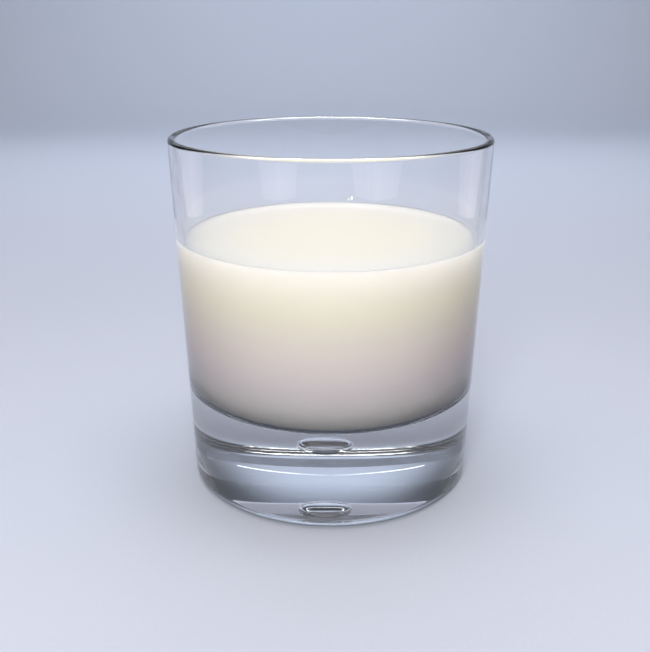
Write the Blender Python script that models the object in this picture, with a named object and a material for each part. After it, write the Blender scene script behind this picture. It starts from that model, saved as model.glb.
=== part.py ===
"""A heavy-based drinking glass, filled about two thirds full with milk.

Sizes are in metres and +Z is up. The origin is the centre of the ring that the glass stands on,
so the table is at Z = 0 and the axis of both pieces is the Z axis.
"""
import math

import bmesh
import bpy

MM = 0.001

# The glass from outside: a straight side that flares a little towards the mouth.
HEIGHT = 95.3 * MM
MOUTH_RADIUS = 42.5 * MM
FOOT_RADIUS = 38.97 * MM  # where the straight side, carried on down, would meet the table
FOOT_ROUNDING = 3.0 * MM

# The wall and the thick base.
LIP_WIDTH = 1.94 * MM
WALL_AT_FLOOR = 2.4 * MM
FLOOR_HEIGHT = 25.0 * MM
FLOOR_ROUNDING = 8.3 * MM

# The shallow dome under the base, inside the narrow flat ring that the glass stands on.
DOME_RADIUS = 35.4 * MM
DOME_HEIGHT = 1.95 * MM
DOME_POWER = 1.6  # the dome falls from the axis as this power of the distance

# The flat air bubble inside the base, a little fuller at its rim than an ellipse. A fine vent joins it
# to the underside.
BUBBLE_HEIGHT = 12.7 * MM
BUBBLE_HALF_WIDTH = 5.2 * MM
BUBBLE_HALF_THICKNESS = 2.1 * MM
BUBBLE_FULLNESS = 2.5  # 2 is an ellipse
BUBBLE_OFF_AXIS = -0.9 * MM
VENT_RADIUS = 0.4 * MM

# The milk. It stands a little higher where it wets the wall.
MILK_LEVEL = 68.0 * MM
MILK_RISE_AT_WALL = 1.1 * MM
MILK_RISE_REACH = 1.3 * MM  # the distance from the wall over which the rise falls to a third
MILK_CLEARANCE = 0.3 * MM

SIDES = 72
BUBBLE_SIDES = 24
SMOOTH_UP_TO = math.radians(35.0)


def remove_everything():
    for thing in list(bpy.data.objects):
        bpy.data.objects.remove(thing, do_unlink=True)


def plain_material(name, colour, roughness, transmission=0.0, ior=1.45):
    material = bpy.data.materials.new(name)
    material.use_nodes = True
    shader = material.node_tree.nodes["Principled BSDF"]
    shader.inputs["Base Color"].default_value = (*colour, 1.0)
    shader.inputs["Roughness"].default_value = roughness
    shader.inputs["Metallic"].default_value = 0.0
    shader.inputs["Transmission Weight"].default_value = transmission
    shader.inputs["IOR"].default_value = ior
    material.diffuse_color = (*colour, 1.0)
    return material


def arc(centre, radius, start, end, steps):
    """Points (distance from axis, height) along an arc, angles in degrees from level outwards."""
    points = []
    for step in range(steps + 1):
        angle = math.radians(start + (end - start) * step / steps)
        points.append((centre[0] + radius * math.cos(angle), centre[1] + radius * math.sin(angle)))
    return points


def outer_flare():
    """How fast the outside widens, as a share of the height climbed."""
    return (MOUTH_RADIUS - FOOT_RADIUS) / (HEIGHT - LIP_WIDTH / 2)


def inner_radius_at_floor():
    return FOOT_RADIUS + outer_flare() * FLOOR_HEIGHT - WALL_AT_FLOOR


def inner_flare():
    lip_inside = MOUTH_RADIUS - LIP_WIDTH
    return (lip_inside - inner_radius_at_floor()) / (HEIGHT - LIP_WIDTH / 2 - FLOOR_HEIGHT)


def inner_radius(height):
    return inner_radius_at_floor() + inner_flare() * (height - FLOOR_HEIGHT)


def corner_centre(radius_at_level, level, flare, rounding):
    """The centre of an arc that touches a flaring side and the level surface below it."""
    across = radius_at_level + flare * rounding - rounding * math.sqrt(1.0 + flare * flare)
    return across, level + rounding


def lip_outline():
    """Over the mouth's rounded edge, from its outside to its inside."""
    radius = LIP_WIDTH / 2
    return arc((MOUTH_RADIUS - radius, HEIGHT - radius), radius, 0.0, 180.0, 8)


def foot_outline():
    """From the axis under the base out to the straight outer side."""
    points = []
    dome_steps = 12
    for step in range(dome_steps + 1):
        share = step / dome_steps
        points.append((DOME_RADIUS * share, DOME_HEIGHT * (1.0 - share**DOME_POWER)))
    centre = corner_centre(FOOT_RADIUS, 0.0, outer_flare(), FOOT_ROUNDING)
    tilt = math.degrees(math.atan(outer_flare()))
    points += arc(centre, FOOT_ROUNDING, -90.0, -tilt, 7)
    return points


def inside_outline(floor, rounding, clearance, steps):
    """From the axis at the floor, round the inner corner, to where the straight wall begins."""
    wall = inner_radius(floor) - clearance
    centre = corner_centre(wall, floor, inner_flare(), rounding)
    tilt = math.degrees(math.atan(inner_flare()))
    return [(0.0, floor)] + arc(centre, rounding, -90.0, -tilt, steps)


def milk_surface_outline():
    """From the wall, down the curved edge of the surface, to the axis."""
    points = []
    wall = inner_radius(MILK_LEVEL + MILK_RISE_AT_WALL) - MILK_CLEARANCE
    for reach in (0.0, 0.3, 0.7, 1.2, 1.9, 2.9, 4.5):
        distance = reach * MILK_RISE_REACH
        height = MILK_LEVEL + MILK_RISE_AT_WALL * math.exp(-reach)
        points.append((wall - distance, height))
    points.append((0.0, MILK_LEVEL))
    return points


def bubble_outline():
    """Down the bubble's side from its top, then down its vent to below the base.

    The bubble is a superellipse, |across|**fullness + |up|**fullness = 1 in its own half sizes.
    """
    points = [(0.0, BUBBLE_HEIGHT + BUBBLE_HALF_THICKNESS)]
    power = 2.0 / BUBBLE_FULLNESS
    first = math.pi / 2
    last = -math.acos((VENT_RADIUS / BUBBLE_HALF_WIDTH) ** (1.0 / power))
    steps = 16
    for step in range(1, steps + 1):
        angle = first + (last - first) * step / steps
        across = BUBBLE_HALF_WIDTH * math.cos(angle) ** power
        up = math.copysign(abs(math.sin(angle)) ** power, angle)
        points.append((across, BUBBLE_HEIGHT + BUBBLE_HALF_THICKNESS * up))
    below_dome = DOME_HEIGHT / 2
    points.append((VENT_RADIUS, below_dome))
    points.append((0.0, below_dome))
    return points


def turned(name, outline, sides, material):
    """Turns an outline of (distance from axis, height) points once round the Z axis."""
    shape = bmesh.new()
    corners = [shape.verts.new((across, 0.0, height)) for across, height in outline]
    edges = [shape.edges.new(pair) for pair in zip(corners, corners[1:])]
    bmesh.ops.spin(
        shape,
        geom=corners + edges,
        cent=(0.0, 0.0, 0.0),
        axis=(0.0, 0.0, 1.0),
        angle=math.tau,
        steps=sides,
        use_merge=True,
    )
    bmesh.ops.remove_doubles(shape, verts=shape.verts, dist=0.001 * MM)
    bmesh.ops.recalc_face_normals(shape, faces=shape.faces)
    mesh = bpy.data.meshes.new(name)
    shape.to_mesh(mesh)
    shape.free()
    mesh.materials.append(material)
    mesh.shade_smooth()
    mesh.set_sharp_from_angle(angle=SMOOTH_UP_TO)
    piece = bpy.data.objects.new(name, mesh)
    bpy.context.scene.collection.objects.link(piece)
    return piece


def make_bubble_cutter(material):
    cutter = turned("bubble_cutter", bubble_outline(), BUBBLE_SIDES, material)
    cutter.location.x = BUBBLE_OFF_AXIS
    cutter.hide_render = True
    cutter.display_type = "WIRE"
    return cutter


def make_glass():
    clear = plain_material("clear_glass", (0.93, 0.95, 0.97), 0.03, transmission=1.0, ior=1.52)
    inside = inside_outline(FLOOR_HEIGHT, FLOOR_ROUNDING, 0.0, 10)
    outline = foot_outline() + lip_outline() + inside[::-1]
    glass = turned("glass", outline, SIDES, clear)
    bubble = glass.modifiers.new("bubble", "BOOLEAN")
    bubble.operation = "DIFFERENCE"
    bubble.object = make_bubble_cutter(clear)
    return glass


def make_milk():
    white = plain_material("milk", (0.93, 0.90, 0.82), 0.25, ior=1.35)
    floor = FLOOR_HEIGHT + MILK_CLEARANCE
    rounding = FLOOR_ROUNDING - MILK_CLEARANCE
    outline = inside_outline(floor, rounding, MILK_CLEARANCE, 10) + milk_surface_outline()
    return turned("milk", outline, SIDES, white)


remove_everything()
make_glass()
make_milk()
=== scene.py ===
"""The looks of a heavy-based glass of milk: clear pressed glass, creamy milk, a pale studio.

Lengths are in metres, +Z is up and the glass stands round the Z axis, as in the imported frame.
"""
import math

import bpy
import numpy as np
from mathutils import Euler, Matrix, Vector


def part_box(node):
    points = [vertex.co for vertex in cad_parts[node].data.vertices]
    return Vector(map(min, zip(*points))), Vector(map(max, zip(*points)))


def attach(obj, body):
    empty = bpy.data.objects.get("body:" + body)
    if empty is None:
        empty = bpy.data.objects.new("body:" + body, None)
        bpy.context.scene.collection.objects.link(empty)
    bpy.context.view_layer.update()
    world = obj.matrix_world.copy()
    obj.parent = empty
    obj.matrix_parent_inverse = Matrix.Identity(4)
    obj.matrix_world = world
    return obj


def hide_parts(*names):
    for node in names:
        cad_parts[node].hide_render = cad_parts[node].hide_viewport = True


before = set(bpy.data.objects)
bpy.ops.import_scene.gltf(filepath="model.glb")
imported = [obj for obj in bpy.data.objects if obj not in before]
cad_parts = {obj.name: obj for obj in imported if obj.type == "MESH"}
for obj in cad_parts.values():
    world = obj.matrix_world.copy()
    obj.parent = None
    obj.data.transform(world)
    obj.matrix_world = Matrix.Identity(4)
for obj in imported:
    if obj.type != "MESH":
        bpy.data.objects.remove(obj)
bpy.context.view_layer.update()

MM = 0.001

# The camera: its place from the axis of the glass, its tilt and its lens.
CAMERA_PLACE = (-1.49 * MM, -246.2 * MM, 127.1 * MM)
CAMERA_DOWN = math.radians(19.09)
CAMERA_NEAR = 0.01
SENSOR_LONG_SIDE = 36.0
LENS = 51.08

# The outside of the glass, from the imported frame, and the parts of it that no box gives.
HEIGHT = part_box("glass")[1].z
MOUTH_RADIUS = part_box("glass")[1].x
FOOT_RADIUS = 38.97 * MM  # where the straight side, carried on down, would meet the table
FOOT_ROUNDING = 3.0 * MM
LIP_WIDTH = 1.94 * MM
WALL_AT_FLOOR = 2.4 * MM
FLOOR_HEIGHT = 25.0 * MM
FLOOR_ROUNDING = 8.3 * MM

# The shallow dome under the base.
DOME_RADIUS = 35.4 * MM
DOME_HEIGHT = 1.95 * MM
DOME_POWER = 1.6

# The flat bubble in the base.
BUBBLE_HEIGHT = 12.7 * MM
BUBBLE_HALF_WIDTH = 5.2 * MM
BUBBLE_HALF_THICKNESS = 2.1 * MM
BUBBLE_FULLNESS = 2.5  # 2 is an ellipse
BUBBLE_OFF_AXIS = -0.9 * MM

# The milk reaches a little into the wall, so that no air shows between the two.
MILK_AT_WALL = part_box("milk")[1].z
MILK_RISE_AT_WALL = 1.1 * MM
MILK_RISE_REACH = 1.3 * MM  # the distance from the wall over which the rise falls to a third
MILK_INTO_GLASS = 0.12 * MM
FREE_SURFACE_UP = 0.1  # a face whose normal points up by more than this is part of the free surface

# Tiny drops of milk on the inside of the wall: bearing from straight behind in degrees, height, half width
# and half height.
DROPS = (
    (10.1, 70.4 * MM, 0.42 * MM, 0.62 * MM),
    (8.6, 69.9 * MM, 0.25 * MM, 0.30 * MM),
    (-102.9, 81.4 * MM, 0.16 * MM, 0.20 * MM),
    (104.0, 79.0 * MM, 0.16 * MM, 0.26 * MM),
)
DROP_BULGE = 0.45  # how far a drop stands off the wall, as a share of its half width

# How finely the pieces are divided: round the axis, and along each stretch of an outline.
SIDES = 240
BUBBLE_SIDES = 96
DROP_SIDES = 20
DOME_STEPS = 59
RING_STEPS = 4
FOOT_STEPS = 24
GLASS_WALL_STEPS = 36
LIP_STEPS = 36
CORNER_STEPS = 30
FLOOR_STEPS = 14
MILK_WALL_STEPS = 30
MILK_SURFACE_STEPS = 10
BUBBLE_STEPS = 60
DROP_STEPS = 10
# Where the milk's rise has its points, in reaches from the wall: closer together where it is steep.
RISE_POINTS = np.concatenate([np.linspace(0.0, 5.0, 40), np.linspace(6.0, 12.0, 5)])

# The glass: how it bends light, its faint waviness and the tint of its depth.
GLASS_COLOUR = (1.0, 1.0, 1.0, 1.0)
GLASS_IOR = 1.52
WAVE_SCALE = 45.0
WAVE_STRENGTH = 0.15
WAVE_HEIGHT = 0.1 * MM
TINT_COLOUR = (0.80, 0.88, 0.92, 1.0)
TINT_DENSITY = 3.0
# How much of a lamp's light comes through one surface of the base and of the wall, and where that changes.
BASE_SHADOW = (0.35, 0.38, 0.43, 1.0)
WALL_SHADOW = (0.85, 0.86, 0.87, 1.0)
SHADOW_CHANGES_FROM = 0.8 * FLOOR_HEIGHT
SHADOW_CHANGES_TO = 1.2 * FLOOR_HEIGHT

# The milk: how it bends light, and how deep light wanders in it, below the wall and under the free surface.
MILK_IOR = 1.35
MILK_RADIUS = (1.0, 1.0, 1.0)  # that depth's share for red, green and blue
MILK_DEPTH = 60.0 * MM
SURFACE_DEPTH = 1.5 * MM
DROP_DEPTH = 0.04 * MM
# The milk's colours, each at its share of the way from the floor of the glass to the milk's upper edge.
# Creamier towards the top, and lilac blue towards the floor: the blue low down is painted bluish bounce
# light.
MILK_CREAM_AND_PAINTED_BOUNCE_COLOURS = (
    (0.10, (0.86, 0.86, 1.0, 1.0)),
    (0.30, (0.88, 0.795, 0.90, 1.0)),
    (0.50, (0.98, 0.825, 0.80, 1.0)),
    (0.75, (1.0, 0.86, 0.70, 1.0)),
    (1.00, (1.0, 0.86, 0.71, 1.0)),
)
CLOUD_SCALE = 60.0
CLOUD_DETAIL = 2.0
CLOUD_DARKEST = 0.985
# The free surface's colours: in its middle, near the wall and where it climbs the wall as a thin film.
SURFACE_MIDDLE_COLOUR = (0.70, 0.70, 0.61, 1.0)
SURFACE_EDGE_COLOUR = (0.70, 0.71, 0.68, 1.0)
SURFACE_FILM_COLOUR = (0.68, 0.72, 0.77, 1.0)
SURFACE_MIDDLE_ENDS = 0.35 * MOUTH_RADIUS
DROP_COLOURS = (0.90, 0.94, 1.0, 1.0), (1.0, 1.0, 0.98, 1.0)
DROP_CLOUD_SCALE = 1500.0

# The studio's floor: a level sheet that bends up into a wall well behind the glass.
FLOOR_FRONT = -2.0
FLOOR_BEND_STARTS = 0.75
FLOOR_BEND_RADIUS = 0.35
FLOOR_BEND_STEPS = 24
FLOOR_TOP = 2.2
FLOOR_HALF_WIDTH = 2.5
PAPER_COLOURS = (0.425, 0.47, 0.57, 1.0), (0.447, 0.497, 0.60, 1.0)
PAPER_GRAIN_SCALE = 900.0

# The lamps: their colours, the point that most of them face, and the place, size and power of each.
WARM = (1.0, 0.96, 0.90)
NEUTRAL = (1.0, 0.985, 0.965)
COOL = (0.93, 0.96, 1.0)
ROSY = (1.0, 0.60, 0.50)
MIDDLE = (0.0, 0.0, 0.05)
OVERHEAD_PLACE = (0.0, -0.05, 0.70)
OVERHEAD_SIZE = (0.40, 0.25)
OVERHEAD_POWER = 2.3
RIM_PLACE = (0.0, 0.15, 0.75)
RIM_SIZE = (0.5, 0.3)
RIM_POWER = 0.7
GLINT_PLACE = (0.0, 0.10, 0.60)
GLINT_SIZE = (0.28, 0.07)
GLINT_POWER = 3.5
KEY_PLACE = (-0.06, -0.60, 0.48)
KEY_SIZE = (0.30, 0.35)
KEY_POWER = 5.9
BACKDROP_PLACE = (0.0, 0.55, 0.75)
BACKDROP_AIM = (0.0, 1.1, 0.35)
BACKDROP_SIZE = (0.8, 0.2)
BACKDROP_POWER = 4.2
BACKDROP_SPREAD = 165.0
BACK_FILL_PLACE = (0.0, 0.60, 0.40)
BACK_FILL_SIZE = (0.9, 0.25)
BACK_FILL_POWER = 1.6
# The lamps that stand in pairs, by their right one.
HIGH_PLACE = (0.36, -0.05, 0.75)
HIGH_TURN = 82.0
HIGH_SIZE = (0.40, 0.16)
HIGH_POWER = 0.65
SIDE_GLINT_PLACE = (0.26, 0.02, 0.68)
SIDE_GLINT_SIZE = (0.25, 0.30)
SIDE_GLINT_POWER = 3.5
WORLD_COLOUR = (0.88, 0.92, 1.0, 1.0)
WORLD_STRENGTH = 0.04

# The long thin glowing strip behind the glass.
STRIP_DISTANCE = 0.70
STRIP_REACH = 0.35
STRIP_HEIGHT = 0.285
STRIP_RISE = 0.033
STRIP_HALF_AT_MIDDLE = 0.006
STRIP_HALF_AT_END = 0.003
STRIP_COLOUR = (0.93, 0.96, 1.0, 1.0)
STRIP_AT_MIDDLE = 0.1
STRIP_AT_END = 2.3
STRIP_STEPS = 80

# The dark band behind the glass, above the view, seen only in reflections: a painted dark reflection.
# Its reach is in degrees to either side.
FLAG_REACH = 50.0
FLAG_DISTANCE = 1.0
FLAG_FOOT = 0.235
FLAG_TOP = 0.318
FLAG_RISE = 0.16
FLAG_STEPS = 60
FLAG_DARK_REFLECTION_COLOURS = (0.14, 0.15, 0.18, 1.0), (0.24, 0.26, 0.31, 1.0)
FLAG_MOTTLE_SCALE = 12.0

# The low glowing cards that mirror in the wall: bearings in degrees, half the width at foot and at top,
# heights of foot and top.
CARD_COLOUR = (1.0, 0.90, 0.90, 1.0)
CARD_BEARING = 73.0
CARD_DISTANCE = 0.325
CARD_HALVES = (0.065, 0.095)
CARD_HEIGHTS = (0.001, 0.046)
CARD_GLOW = 1.05
LEFT_PANE_BEARING = -146.6
LEFT_PANE_HALVES = (0.057, 0.075)
RIGHT_PANE_BEARING = 151.2
RIGHT_PANE_HALVES = (0.072, 0.100)
PANE_DISTANCE = 0.30
PANE_HEIGHTS = (0.014, 0.045)
PANE_GLOW = 1.5
CARD_END_SHARE = 0.4  # the glow at a card's sides, as a share of the glow in its middle
CARD_STEPS = 8

# The streaks in a glow: how many there are over its reach, and the shares of its strength between them.
STREAKS = 8.0
STREAK_NOISE = (0.3, 0.7)
STREAK_SHARES = (0.7, 1.3)

# How often a ray may bounce, in all and through glass, off gloss and off matt surfaces.
MOST_BOUNCES = 24
GLOSSY_BOUNCES = 12
DIFFUSE_BOUNCES = 4


# Outlines, as arrays of (distance from the axis, height).


def arc(centre, radius, start, end, steps):
    """The points centre + radius * (cos a, sin a) for angles a from start to end, in degrees."""
    angle = np.radians(np.linspace(start, end, steps + 1))
    return np.stack([centre[0] + radius * np.cos(angle), centre[1] + radius * np.sin(angle)], axis=1)


def straight(start, end, steps):
    """Points between start and end, both left out, closer together towards the two ends."""
    share = 0.5 - 0.5 * np.cos(np.pi * np.arange(1, steps) / steps)[:, None]
    return np.asarray(start) * (1.0 - share) + np.asarray(end) * share


def outer_flare():
    """How fast the outside widens with height."""
    return (MOUTH_RADIUS - FOOT_RADIUS) / (HEIGHT - LIP_WIDTH / 2)


def inner_radius_at_floor():
    return FOOT_RADIUS + outer_flare() * FLOOR_HEIGHT - WALL_AT_FLOOR


def inner_flare():
    return (MOUTH_RADIUS - LIP_WIDTH - inner_radius_at_floor()) / (HEIGHT - LIP_WIDTH / 2 - FLOOR_HEIGHT)


def inner_radius(height):
    return inner_radius_at_floor() + inner_flare() * (height - FLOOR_HEIGHT)


def corner(radius_at_level, level, flare, rounding, steps):
    """The arc that touches the level surface and the flaring side above it."""
    across = radius_at_level + flare * rounding - rounding * math.sqrt(1.0 + flare * flare)
    return arc((across, level + rounding), rounding, -90.0, -math.degrees(math.atan(flare)), steps)


def dome_outline():
    """Under the base from the axis outwards: height = dome height * (1 - share of the way ** power)."""
    share = np.linspace(0.0, 1.0, DOME_STEPS + 1)
    return np.stack([DOME_RADIUS * share, DOME_HEIGHT * (1.0 - share**DOME_POWER)], axis=1)


def glass_outline():
    """Round the whole wall: from the axis under the base, up the outside, over the lip, down to the floor."""
    dome = dome_outline()
    foot = corner(FOOT_RADIUS, 0.0, outer_flare(), FOOT_ROUNDING, FOOT_STEPS)
    lip_radius = LIP_WIDTH / 2
    lip = arc((MOUTH_RADIUS - lip_radius, HEIGHT - lip_radius), lip_radius, 0.0, 180.0, LIP_STEPS)
    inside = corner(inner_radius_at_floor(), FLOOR_HEIGHT, inner_flare(), FLOOR_ROUNDING, CORNER_STEPS)
    inside = inside[::-1]
    axis_at_floor = np.array([[0.0, FLOOR_HEIGHT]])
    return np.concatenate([
        dome,
        straight(dome[-1], foot[0], RING_STEPS),
        foot,
        straight(foot[-1], lip[0], GLASS_WALL_STEPS),
        lip,
        straight(lip[-1], inside[0], GLASS_WALL_STEPS),
        inside,
        straight(inside[-1], axis_at_floor[0], FLOOR_STEPS),
        axis_at_floor,
    ])


def milk_outline():
    """The drink from the axis at its floor, round its corner and up the wall, then in over its surface.

    The surface is level, with a rise of h * exp(-d / reach) at the distance d from the wall.
    """
    level = MILK_AT_WALL - MILK_RISE_AT_WALL
    floor = FLOOR_HEIGHT - MILK_INTO_GLASS
    side = corner(
        inner_radius(floor) + MILK_INTO_GLASS,
        floor,
        inner_flare(),
        FLOOR_ROUNDING + MILK_INTO_GLASS,
        CORNER_STEPS,
    )
    edge = inner_radius(MILK_AT_WALL) + MILK_INTO_GLASS
    height = level + MILK_RISE_AT_WALL * np.exp(-RISE_POINTS)
    surface = np.stack([edge - RISE_POINTS * MILK_RISE_REACH, height], axis=1)
    return np.concatenate([
        [[0.0, floor]],
        straight((0.0, floor), side[0], FLOOR_STEPS),
        side,
        straight(side[-1], surface[0], MILK_WALL_STEPS),
        surface,
        straight(surface[-1], (0.0, level), MILK_SURFACE_STEPS),
        [[0.0, level]],
    ])


def bubble_outline():
    """A superellipse from its top to its bottom, which turns its faces towards its own middle.

    (half width * cos(a) ** p, half thickness * sin(a) ** p) with p = 2 / fullness and the sines' signs kept.
    """
    power = 2.0 / BUBBLE_FULLNESS
    angle = np.linspace(np.pi / 2, -np.pi / 2, BUBBLE_STEPS + 1)
    across = BUBBLE_HALF_WIDTH * np.abs(np.cos(angle)) ** power
    across[[0, -1]] = 0.0
    up = np.sign(angle) * np.abs(np.sin(angle)) ** power
    return np.stack([across, BUBBLE_HEIGHT + BUBBLE_HALF_THICKNESS * up], axis=1)


# Meshes.


def turned(outline, sides, off_axis=0.0):
    """The surface (r(t) cos a + off_axis, r(t) sin a, z(t)) over the outline's points t and the angles a.

    Both ends of the outline lie on the axis and become one pole each. An outline that runs outwards
    under the shape and back over its top has faces that point outwards.
    """
    angle = np.arange(sides) * (2.0 * np.pi / sides)
    rings = outline[1:-1]
    grid = np.stack([
        rings[:, :1] * np.cos(angle) + off_axis,
        rings[:, :1] * np.sin(angle),
        np.repeat(rings[:, 1:], sides, axis=1),
    ], axis=2).reshape(-1, 3)
    poles = np.array([[off_axis, 0.0, outline[0, 1]], [off_axis, 0.0, outline[-1, 1]]])
    points = np.concatenate([grid, poles])
    here = np.arange(sides)
    there = (here + 1) % sides
    row = np.arange(len(rings) - 1)[:, None] * sides
    quads = np.stack([row + here, row + there, row + there + sides, row + here + sides], axis=2)
    first_pole = np.full(sides, len(grid))
    last_row = (len(rings) - 1) * sides
    fans = np.concatenate([
        np.stack([first_pole, there, here], axis=1),
        np.stack([first_pole + 1, last_row + here, last_row + there], axis=1),
    ])
    return points, quads.reshape(-1, 4), fans


def piece(name, shapes, material):
    """One smooth mesh object from the points, quads and triangles of one or more shapes."""
    points = np.concatenate([shape[0] for shape in shapes])
    starts = np.cumsum([0] + [len(shape[0]) for shape in shapes])
    corners = np.concatenate(
        [(shape[1] + start).ravel() for shape, start in zip(shapes, starts)]
        + [(shape[2] + start).ravel() for shape, start in zip(shapes, starts)]
    )
    quad_count = sum(len(shape[1]) for shape in shapes)
    fan_count = sum(len(shape[2]) for shape in shapes)
    sizes = np.concatenate([np.full(quad_count, 4), np.full(fan_count, 3)])
    mesh = bpy.data.meshes.new(name)
    mesh.vertices.add(len(points))
    mesh.vertices.foreach_set("co", points.astype(np.float32).ravel())
    mesh.loops.add(len(corners))
    mesh.loops.foreach_set("vertex_index", corners.astype(np.int32))
    mesh.polygons.add(len(sizes))
    mesh.polygons.foreach_set("loop_start", (np.cumsum(sizes) - sizes).astype(np.int32))
    mesh.update(calc_edges=True)
    mesh.validate()
    mesh.shade_smooth()
    mesh.materials.append(material)
    thing = bpy.data.objects.new(name, mesh)
    bpy.context.scene.collection.objects.link(thing)
    return thing


def sheet(name, grid, material):
    """A sheet over a grid of points, rows by columns by 3, with one face in each cell of the grid."""
    rows, columns = grid.shape[:2]
    number = np.arange(rows * columns).reshape(rows, columns)
    faces = np.stack([number[:-1, :-1], number[:-1, 1:], number[1:, 1:], number[1:, :-1]], axis=2)
    mesh = bpy.data.meshes.new(name)
    mesh.from_pydata(grid.reshape(-1, 3).tolist(), [], faces.reshape(-1, 4).tolist())
    mesh.materials.append(material)
    thing = bpy.data.objects.new(name, mesh)
    bpy.context.scene.collection.objects.link(thing)
    return thing


# Materials.


def blank_material(name):
    material = bpy.data.materials.new(name)
    material.use_nodes = True
    tree = material.node_tree
    tree.nodes.clear()
    return material, tree.nodes, tree.links


def share_of_height(nodes, links, low, high):
    """How far up a point lies between two heights: (z - low) / (high - low), kept between 0 and 1."""
    place = nodes.new("ShaderNodeTexCoord")
    split = nodes.new("ShaderNodeSeparateXYZ")
    share = nodes.new("ShaderNodeMapRange")
    share.inputs["From Min"].default_value = low
    share.inputs["From Max"].default_value = high
    links.new(place.outputs["Object"], split.inputs["Vector"])
    links.new(split.outputs["Z"], share.inputs["Value"])
    return share.outputs["Result"]


def mottled(name, colours, scale, roughness):
    """A material whose colour wanders between two shades with a noise of the given scale, and its shader."""
    material, nodes, links = blank_material(name)
    output = nodes.new("ShaderNodeOutputMaterial")
    body = nodes.new("ShaderNodeBsdfPrincipled")
    body.inputs["Roughness"].default_value = roughness
    place = nodes.new("ShaderNodeTexCoord")
    noise = nodes.new("ShaderNodeTexNoise")
    noise.inputs["Scale"].default_value = scale
    shades = nodes.new("ShaderNodeValToRGB")
    shades.color_ramp.elements[0].color = colours[0]
    shades.color_ramp.elements[1].color = colours[1]
    links.new(place.outputs["Object"], noise.inputs["Vector"])
    links.new(noise.outputs["Fac"], shades.inputs["Fac"])
    links.new(shades.outputs["Color"], body.inputs["Base Color"])
    links.new(body.outputs["BSDF"], output.inputs["Surface"])
    return material, body


def clear_glass():
    """Clear pressed glass: a faint waviness in the surface, and lamps shine through it."""
    material, nodes, links = blank_material("clear_glass")
    output = nodes.new("ShaderNodeOutputMaterial")
    glass = nodes.new("ShaderNodeBsdfPrincipled")
    glass.inputs["Base Color"].default_value = GLASS_COLOUR
    glass.inputs["Roughness"].default_value = 0.0
    glass.inputs["IOR"].default_value = GLASS_IOR
    glass.inputs["Transmission Weight"].default_value = 1.0
    place = nodes.new("ShaderNodeTexCoord")
    waves = nodes.new("ShaderNodeTexNoise")
    waves.inputs["Scale"].default_value = WAVE_SCALE
    waves.inputs["Detail"].default_value = 1.0
    bump = nodes.new("ShaderNodeBump")
    bump.inputs["Strength"].default_value = WAVE_STRENGTH
    bump.inputs["Distance"].default_value = WAVE_HEIGHT
    links.new(place.outputs["Object"], waves.inputs["Vector"])
    links.new(waves.outputs["Fac"], bump.inputs["Height"])
    links.new(bump.outputs["Normal"], glass.inputs["Normal"])
    path = nodes.new("ShaderNodeLightPath")
    let_through = nodes.new("ShaderNodeValToRGB")
    let_through.color_ramp.elements[0].color = BASE_SHADOW
    let_through.color_ramp.elements[1].color = WALL_SHADOW
    open_way = nodes.new("ShaderNodeBsdfTransparent")
    height = share_of_height(nodes, links, SHADOW_CHANGES_FROM, SHADOW_CHANGES_TO)
    links.new(height, let_through.inputs["Fac"])
    links.new(let_through.outputs["Color"], open_way.inputs["Color"])
    choose = nodes.new("ShaderNodeMixShader")
    links.new(path.outputs["Is Shadow Ray"], choose.inputs["Fac"])
    links.new(glass.outputs["BSDF"], choose.inputs[1])
    links.new(open_way.outputs["BSDF"], choose.inputs[2])
    links.new(choose.outputs["Shader"], output.inputs["Surface"])
    tint = nodes.new("ShaderNodeVolumeAbsorption")
    tint.inputs["Color"].default_value = TINT_COLOUR
    tint.inputs["Density"].default_value = TINT_DENSITY
    links.new(tint.outputs["Volume"], output.inputs["Volume"])
    return material


def milk_body(nodes, depth, specular, roughness):
    """Milk that light wanders through as deep as given."""
    milk = nodes.new("ShaderNodeBsdfPrincipled")
    milk.inputs["Subsurface Weight"].default_value = 1.0
    milk.inputs["Subsurface Radius"].default_value = MILK_RADIUS
    milk.inputs["Subsurface Scale"].default_value = depth
    milk.inputs["Roughness"].default_value = roughness
    milk.inputs["IOR"].default_value = MILK_IOR
    milk.inputs["Specular IOR Level"].default_value = specular
    return milk


def cream_and_painted_bounce_by_height(nodes, links):
    """The milk's colour, creamier up top and bluer low down as painted bounce light, times very faint clouds.
    """
    # The ramp's lilac blue near the floor is painted bounce light; the cream near the top is the milk's own.
    cream = nodes.new("ShaderNodeValToRGB")
    ramp = cream.color_ramp
    ramp.elements[0].position, ramp.elements[0].color = MILK_CREAM_AND_PAINTED_BOUNCE_COLOURS[0]
    ramp.elements[1].position, ramp.elements[1].color = MILK_CREAM_AND_PAINTED_BOUNCE_COLOURS[-1]
    for share, colour in MILK_CREAM_AND_PAINTED_BOUNCE_COLOURS[1:-1]:
        ramp.elements.new(share).color = colour
    place = nodes.new("ShaderNodeTexCoord")
    clouds = nodes.new("ShaderNodeTexNoise")
    clouds.inputs["Scale"].default_value = CLOUD_SCALE
    clouds.inputs["Detail"].default_value = CLOUD_DETAIL
    fade = nodes.new("ShaderNodeMapRange")
    fade.inputs["To Min"].default_value = CLOUD_DARKEST
    fade.inputs["To Max"].default_value = 1.0
    shade = nodes.new("ShaderNodeMix")
    shade.data_type = "RGBA"
    shade.blend_type = "MULTIPLY"
    shade.inputs["Factor"].default_value = 1.0
    links.new(share_of_height(nodes, links, FLOOR_HEIGHT, MILK_AT_WALL), cream.inputs["Fac"])
    links.new(place.outputs["Object"], clouds.inputs["Vector"])
    links.new(clouds.outputs["Fac"], fade.inputs["Value"])
    links.new(cream.outputs["Color"], shade.inputs["A"])
    links.new(fade.outputs["Result"], shade.inputs["B"])
    return shade.outputs["Result"]


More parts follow.
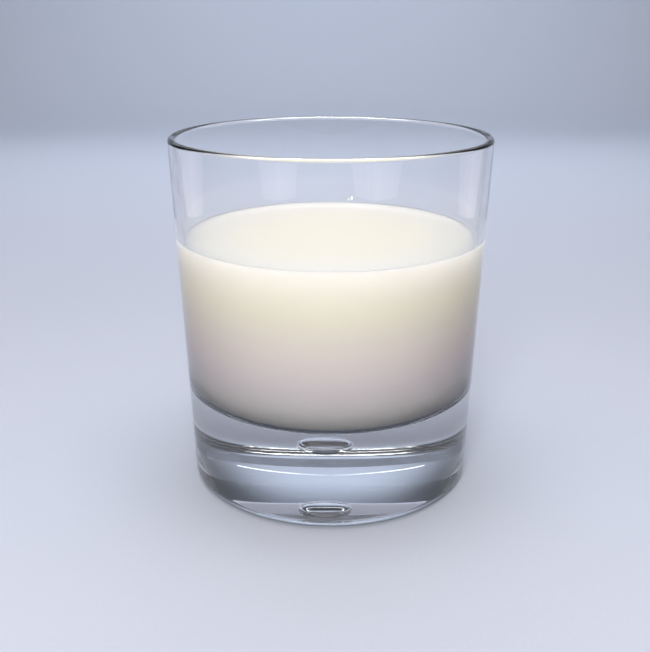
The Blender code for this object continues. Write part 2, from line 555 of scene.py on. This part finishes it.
def milk_against_glass():
    """Milk seen through the wall: it scatters light, and past a slant the wall mirrors in front of it."""
    material, nodes, links = blank_material("milk_against_glass")
    output = nodes.new("ShaderNodeOutputMaterial")
    milk = milk_body(nodes, MILK_DEPTH, specular=0.0, roughness=0.5)
    mirror = nodes.new("ShaderNodeBsdfGlossy")
    mirror.inputs["Color"].default_value = GLASS_COLOUR
    mirror.inputs["Roughness"].default_value = 0.0
    slant = nodes.new("ShaderNodeFresnel")
    slant.inputs["IOR"].default_value = MILK_IOR / GLASS_IOR
    mix = nodes.new("ShaderNodeMixShader")
    links.new(cream_and_painted_bounce_by_height(nodes, links), milk.inputs["Base Color"])
    links.new(slant.outputs["Fac"], mix.inputs["Fac"])
    links.new(milk.outputs["BSDF"], mix.inputs[1])
    links.new(mirror.outputs["BSDF"], mix.inputs[2])
    links.new(mix.outputs["Shader"], output.inputs["Surface"])
    return material


def milk_surface():
    """The free surface, which reflects as a liquid does.

    Its colour changes with the distance from the axis, the length of (x, y, 0), from the middle's to the
    edge's, and from there with the height into the film's where the milk climbs the wall.
    """
    material, nodes, links = blank_material("milk_surface")
    output = nodes.new("ShaderNodeOutputMaterial")
    milk = milk_body(nodes, SURFACE_DEPTH, specular=0.1, roughness=0.2)
    place = nodes.new("ShaderNodeTexCoord")
    flat = nodes.new("ShaderNodeVectorMath")
    flat.operation = "MULTIPLY"
    flat.inputs[1].default_value = (1.0, 1.0, 0.0)
    distance = nodes.new("ShaderNodeVectorMath")
    distance.operation = "LENGTH"
    outwards = nodes.new("ShaderNodeMapRange")
    outwards.interpolation_type = "SMOOTHSTEP"
    outwards.inputs["From Min"].default_value = SURFACE_MIDDLE_ENDS
    outwards.inputs["From Max"].default_value = inner_radius(MILK_AT_WALL)
    shades = nodes.new("ShaderNodeValToRGB")
    shades.color_ramp.elements[0].color = SURFACE_MIDDLE_COLOUR
    shades.color_ramp.elements[1].color = SURFACE_EDGE_COLOUR
    film = nodes.new("ShaderNodeMix")
    film.data_type = "RGBA"
    film.inputs["B"].default_value = SURFACE_FILM_COLOUR
    climb = share_of_height(nodes, links, MILK_AT_WALL - MILK_RISE_AT_WALL, MILK_AT_WALL)
    links.new(place.outputs["Object"], flat.inputs[0])
    links.new(flat.outputs["Vector"], distance.inputs[0])
    links.new(distance.outputs["Value"], outwards.inputs["Value"])
    links.new(outwards.outputs["Result"], shades.inputs["Fac"])
    links.new(climb, film.inputs["Factor"])
    links.new(shades.outputs["Color"], film.inputs["A"])
    links.new(film.outputs["Result"], milk.inputs["Base Color"])
    links.new(milk.outputs["BSDF"], output.inputs["Surface"])
    return material


def drying_milk():
    """Thin milk in a drop, in places a little bluer."""
    material, drop = mottled("drying_milk", DROP_COLOURS, DROP_CLOUD_SCALE, roughness=0.1)
    drop.inputs["Subsurface Weight"].default_value = 1.0
    drop.inputs["Subsurface Radius"].default_value = MILK_RADIUS
    drop.inputs["Subsurface Scale"].default_value = DROP_DEPTH
    return material


def studio_paper():
    """Pale matt paper with a barely visible grain."""
    material, paper = mottled("studio_paper", PAPER_COLOURS, PAPER_GRAIN_SCALE, roughness=0.9)
    paper.inputs["Specular IOR Level"].default_value = 0.2
    return material


def dark_reflection_sheet():
    """Dark matt sheet with a soft mottle, for a painted dark reflection."""
    return mottled("dark_reflection_sheet", FLAG_DARK_REFLECTION_COLOURS, FLAG_MOTTLE_SCALE, roughness=1.0)[0]


def glow(name, colour, middle_strength, end_strength, reach):
    """An uneven glow whose strength changes from the sheet's middle to its two ends, along its own X."""
    material, nodes, links = blank_material(name)
    output = nodes.new("ShaderNodeOutputMaterial")
    light = nodes.new("ShaderNodeEmission")
    light.inputs["Color"].default_value = colour
    place = nodes.new("ShaderNodeTexCoord")
    split = nodes.new("ShaderNodeSeparateXYZ")
    from_middle = nodes.new("ShaderNodeMath")
    from_middle.operation = "ABSOLUTE"
    strength = nodes.new("ShaderNodeMapRange")
    strength.inputs["From Max"].default_value = reach
    strength.inputs["To Min"].default_value = middle_strength
    strength.inputs["To Max"].default_value = end_strength
    streaks = nodes.new("ShaderNodeTexNoise")
    streaks.inputs["Scale"].default_value = STREAKS / reach
    uneven = nodes.new("ShaderNodeMapRange")
    uneven.inputs["From Min"].default_value = STREAK_NOISE[0]
    uneven.inputs["From Max"].default_value = STREAK_NOISE[1]
    uneven.inputs["To Min"].default_value = STREAK_SHARES[0]
    uneven.inputs["To Max"].default_value = STREAK_SHARES[1]
    product = nodes.new("ShaderNodeMath")
    product.operation = "MULTIPLY"
    clear = nodes.new("ShaderNodeBsdfTransparent")
    both = nodes.new("ShaderNodeAddShader")
    links.new(place.outputs["Object"], split.inputs["Vector"])
    links.new(split.outputs["X"], from_middle.inputs[0])
    links.new(from_middle.outputs["Value"], strength.inputs["Value"])
    links.new(split.outputs["X"], streaks.inputs["Vector"])
    links.new(streaks.outputs["Fac"], uneven.inputs["Value"])
    links.new(strength.outputs["Result"], product.inputs[0])
    links.new(uneven.outputs["Result"], product.inputs[1])
    links.new(product.outputs["Value"], light.inputs["Strength"])
    links.new(light.outputs["Emission"], both.inputs[0])
    links.new(clear.outputs["BSDF"], both.inputs[1])
    links.new(both.outputs["Shader"], output.inputs["Surface"])
    return material


# The object.


def make_glass():
    shapes = [turned(glass_outline(), SIDES), turned(bubble_outline(), BUBBLE_SIDES, BUBBLE_OFF_AXIS)]
    glass = piece("clear_tumbler", shapes, clear_glass())
    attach(glass, "root")
    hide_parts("glass")
    return glass


def make_milk():
    """The drink, whose faces that look up have the free surface's material."""
    milk = piece("milk_drink", [turned(milk_outline(), SIDES)], milk_against_glass())
    milk.data.materials.append(milk_surface())
    normals = np.empty(len(milk.data.polygons) * 3, dtype=np.float32)
    milk.data.polygons.foreach_get("normal", normals)
    free = (normals.reshape(-1, 3)[:, 2] > FREE_SURFACE_UP).astype(np.int32)
    milk.data.polygons.foreach_set("material_index", free)
    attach(milk, "root")
    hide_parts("milk")
    return milk


def make_drops():
    """Flattened balls: centre + half width * x along the wall + bulge * y across it + half height * z up."""
    ball, quads, fans = turned(arc((0.0, 0.0), 1.0, -90.0, 90.0, DROP_STEPS), DROP_SIDES)
    shapes = []
    for bearing, height, half_width, half_height in DROPS:
        angle = math.radians(bearing)
        outwards = np.array([math.sin(angle), math.cos(angle), 0.0])
        sideways = np.array([math.cos(angle), -math.sin(angle), 0.0])
        axes = np.stack([
            half_width * sideways,
            DROP_BULGE * half_width * outwards,
            [0.0, 0.0, half_height],
        ])
        centre = inner_radius(height) * outwards + np.array([0.0, 0.0, height])
        shapes.append((ball @ axes + centre, quads, fans))
    drops = piece("milk_drops", shapes, drying_milk())
    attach(drops, "root")
    return drops


# The studio.


def make_floor():
    """A sheet level in front, then bent up through a quarter circle into a wall behind."""
    angle = np.linspace(0.0, np.pi / 2, FLOOR_BEND_STEPS + 1)
    bend_along = FLOOR_BEND_STARTS + FLOOR_BEND_RADIUS * np.sin(angle)
    bend_up = FLOOR_BEND_RADIUS - FLOOR_BEND_RADIUS * np.cos(angle)
    along = np.concatenate([[FLOOR_FRONT], bend_along, [FLOOR_BEND_STARTS + FLOOR_BEND_RADIUS]])
    up = np.concatenate([[0.0], bend_up, [FLOOR_TOP]])
    grid = np.zeros((len(along), 2, 3))
    grid[:, :, 0] = (-FLOOR_HALF_WIDTH, FLOOR_HALF_WIDTH)
    grid[:, :, 1] = along[:, None]
    grid[:, :, 2] = up[:, None]
    floor = sheet("studio_floor", grid, studio_paper())
    floor.data.shade_smooth()
    return floor


def soft_light(
    name, place, size, power, colour, aim=MIDDLE, turn=None, spread=180.0, mirrored=True, lights=True
):
    """A rectangular lamp that faces aim, or straight down where a turn about the vertical is given.

    One that isn't mirrored lights things but shows in none, and one that doesn't light only shows in them.
    """
    lamp = bpy.data.lights.new(name, "AREA")
    lamp.shape = "RECTANGLE"
    lamp.size, lamp.size_y = size
    lamp.energy = power
    lamp.color = colour
    lamp.spread = math.radians(spread)
    thing = bpy.data.objects.new(name, lamp)
    thing.location = place
    if turn is None:
        thing.rotation_euler = (Vector(aim) - Vector(place)).to_track_quat("-Z", "Y").to_euler()
    else:
        thing.rotation_euler.z = math.radians(turn)
    thing.visible_camera = False
    thing.visible_diffuse = lights
    thing.visible_glossy = mirrored
    thing.visible_transmission = mirrored
    bpy.context.scene.collection.objects.link(thing)
    return thing


def make_strip():
    """A long thin glowing strip behind, its ends higher than its middle by STRIP_RISE * share ** 2."""
    along = np.linspace(-STRIP_REACH, STRIP_REACH, STRIP_STEPS + 1)
    share = np.abs(along) / STRIP_REACH
    middle = STRIP_HEIGHT + STRIP_RISE * share**2
    half = STRIP_HALF_AT_MIDDLE + (STRIP_HALF_AT_END - STRIP_HALF_AT_MIDDLE) * share
    grid = np.zeros((2, len(along), 3))
    grid[:, :, 0] = along
    grid[0, :, 2] = middle - half
    grid[1, :, 2] = middle + half
    material = glow("strip_glow", STRIP_COLOUR, STRIP_AT_MIDDLE, STRIP_AT_END, STRIP_REACH)
    strip = sheet("back_strip", grid, material)
    strip.location.y = STRIP_DISTANCE
    strip.visible_camera = False
    return strip


def make_flag():
    """A dark band behind, above the view, bent round the glass: a painted dark reflection in the mirror under
    the base.

    The bearing runs from -FLAG_REACH to FLAG_REACH and both edges rise with the square of the bearing.
    """
    bearing = np.radians(np.linspace(-FLAG_REACH, FLAG_REACH, FLAG_STEPS + 1))
    rise = FLAG_RISE * (bearing / bearing[-1]) ** 2
    grid = np.zeros((2, len(bearing), 3))
    grid[:, :, 0] = FLAG_DISTANCE * np.sin(bearing)
    grid[:, :, 1] = FLAG_DISTANCE * np.cos(bearing)
    grid[0, :, 2] = FLAG_FOOT + rise
    grid[1, :, 2] = FLAG_TOP + rise
    flag = sheet("dark_flag", grid, dark_reflection_sheet())
    # Seen only in reflections and casting no shadow: it paints a dark reflection.
    flag.visible_camera = False
    flag.visible_shadow = False
    flag.visible_diffuse = False
    return flag


def make_card(name, bearing, distance, halves, heights, strength):
    """A low glowing card, out of view, that mirrors in the wall. It narrows towards its foot.

    It stands at the distance and the bearing from straight behind, which is positive to the right.
    """
    height = np.linspace(*heights, CARD_STEPS + 1)
    share = (height - heights[0]) / (heights[1] - heights[0])
    half = halves[0] + (halves[1] - halves[0]) * share
    grid = np.zeros((len(height), 2, 3))
    grid[:, 0, 0] = -half
    grid[:, 1, 0] = half
    grid[:, :, 2] = height[:, None]
    material = glow(name + "_glow", CARD_COLOUR, strength, CARD_END_SHARE * strength, halves[1])
    card = sheet(name, grid, material)
    angle = math.radians(bearing)
    card.location = (distance * math.sin(angle), distance * math.cos(angle), 0.0)
    card.rotation_euler.z = -angle
    card.visible_camera = False
    card.visible_diffuse = False
    card.visible_transmission = False
    return card


def on_side(place, side):
    """The place of a pair's lamp on the left, -1, or on the right, 1."""
    return (side * place[0], place[1], place[2])


def make_lights():
    soft_light("overhead", OVERHEAD_PLACE, OVERHEAD_SIZE, OVERHEAD_POWER, NEUTRAL)
    soft_light("rim_light", RIM_PLACE, RIM_SIZE, RIM_POWER, COOL)
    soft_light("rim_glint", GLINT_PLACE, GLINT_SIZE, GLINT_POWER, COOL, lights=False)
    soft_light("front_key", KEY_PLACE, KEY_SIZE, KEY_POWER, WARM, mirrored=False)
    soft_light(
        "backdrop_light", BACKDROP_PLACE, BACKDROP_SIZE, BACKDROP_POWER, COOL,
        aim=BACKDROP_AIM, spread=BACKDROP_SPREAD, mirrored=False,
    )
    soft_light("back_fill", BACK_FILL_PLACE, BACK_FILL_SIZE, BACK_FILL_POWER, COOL, mirrored=False)
    make_strip()
    make_flag()
    for side, word in ((-1, "left"), (1, "right")):
        soft_light(
            word + "_high", on_side(HIGH_PLACE, side), HIGH_SIZE, HIGH_POWER, ROSY,
            turn=side * HIGH_TURN, mirrored=False,
        )
        make_card(word + "_card", side * CARD_BEARING, CARD_DISTANCE, CARD_HALVES, CARD_HEIGHTS, CARD_GLOW)
        soft_light(
            word + "_glint", on_side(SIDE_GLINT_PLACE, side), SIDE_GLINT_SIZE, SIDE_GLINT_POWER, NEUTRAL,
            lights=False,
        )
    make_card("left_pane", LEFT_PANE_BEARING, PANE_DISTANCE, LEFT_PANE_HALVES, PANE_HEIGHTS, PANE_GLOW)
    make_card("right_pane", RIGHT_PANE_BEARING, PANE_DISTANCE, RIGHT_PANE_HALVES, PANE_HEIGHTS, PANE_GLOW)


def make_world():
    world = bpy.data.worlds.new("studio")
    world.use_nodes = True
    sky = world.node_tree.nodes["Background"]
    sky.inputs["Color"].default_value = WORLD_COLOUR
    sky.inputs["Strength"].default_value = WORLD_STRENGTH
    bpy.context.scene.world = world


def make_camera():
    camera = bpy.data.cameras.new("camera")
    camera.sensor_width = SENSOR_LONG_SIDE
    camera.lens = LENS
    camera.clip_start = CAMERA_NEAR
    thing = bpy.data.objects.new("camera", camera)
    thing.location = CAMERA_PLACE
    thing.rotation_euler = Euler((math.pi / 2 - CAMERA_DOWN, 0.0, 0.0))
    bpy.context.scene.collection.objects.link(thing)
    bpy.context.scene.camera = thing


def set_up_rendering():
    scene = bpy.context.scene
    scene.view_settings.view_transform = "Standard"
    scene.cycles.max_bounces = MOST_BOUNCES
    scene.cycles.transmission_bounces = MOST_BOUNCES
    scene.cycles.transparent_max_bounces = MOST_BOUNCES
    scene.cycles.glossy_bounces = GLOSSY_BOUNCES
    scene.cycles.diffuse_bounces = DIFFUSE_BOUNCES
    scene.cycles.caustics_reflective = False
    scene.cycles.caustics_refractive = False


make_glass()
make_milk()
make_drops()
make_floor()
make_lights()
make_world()
make_camera()
set_up_rendering()
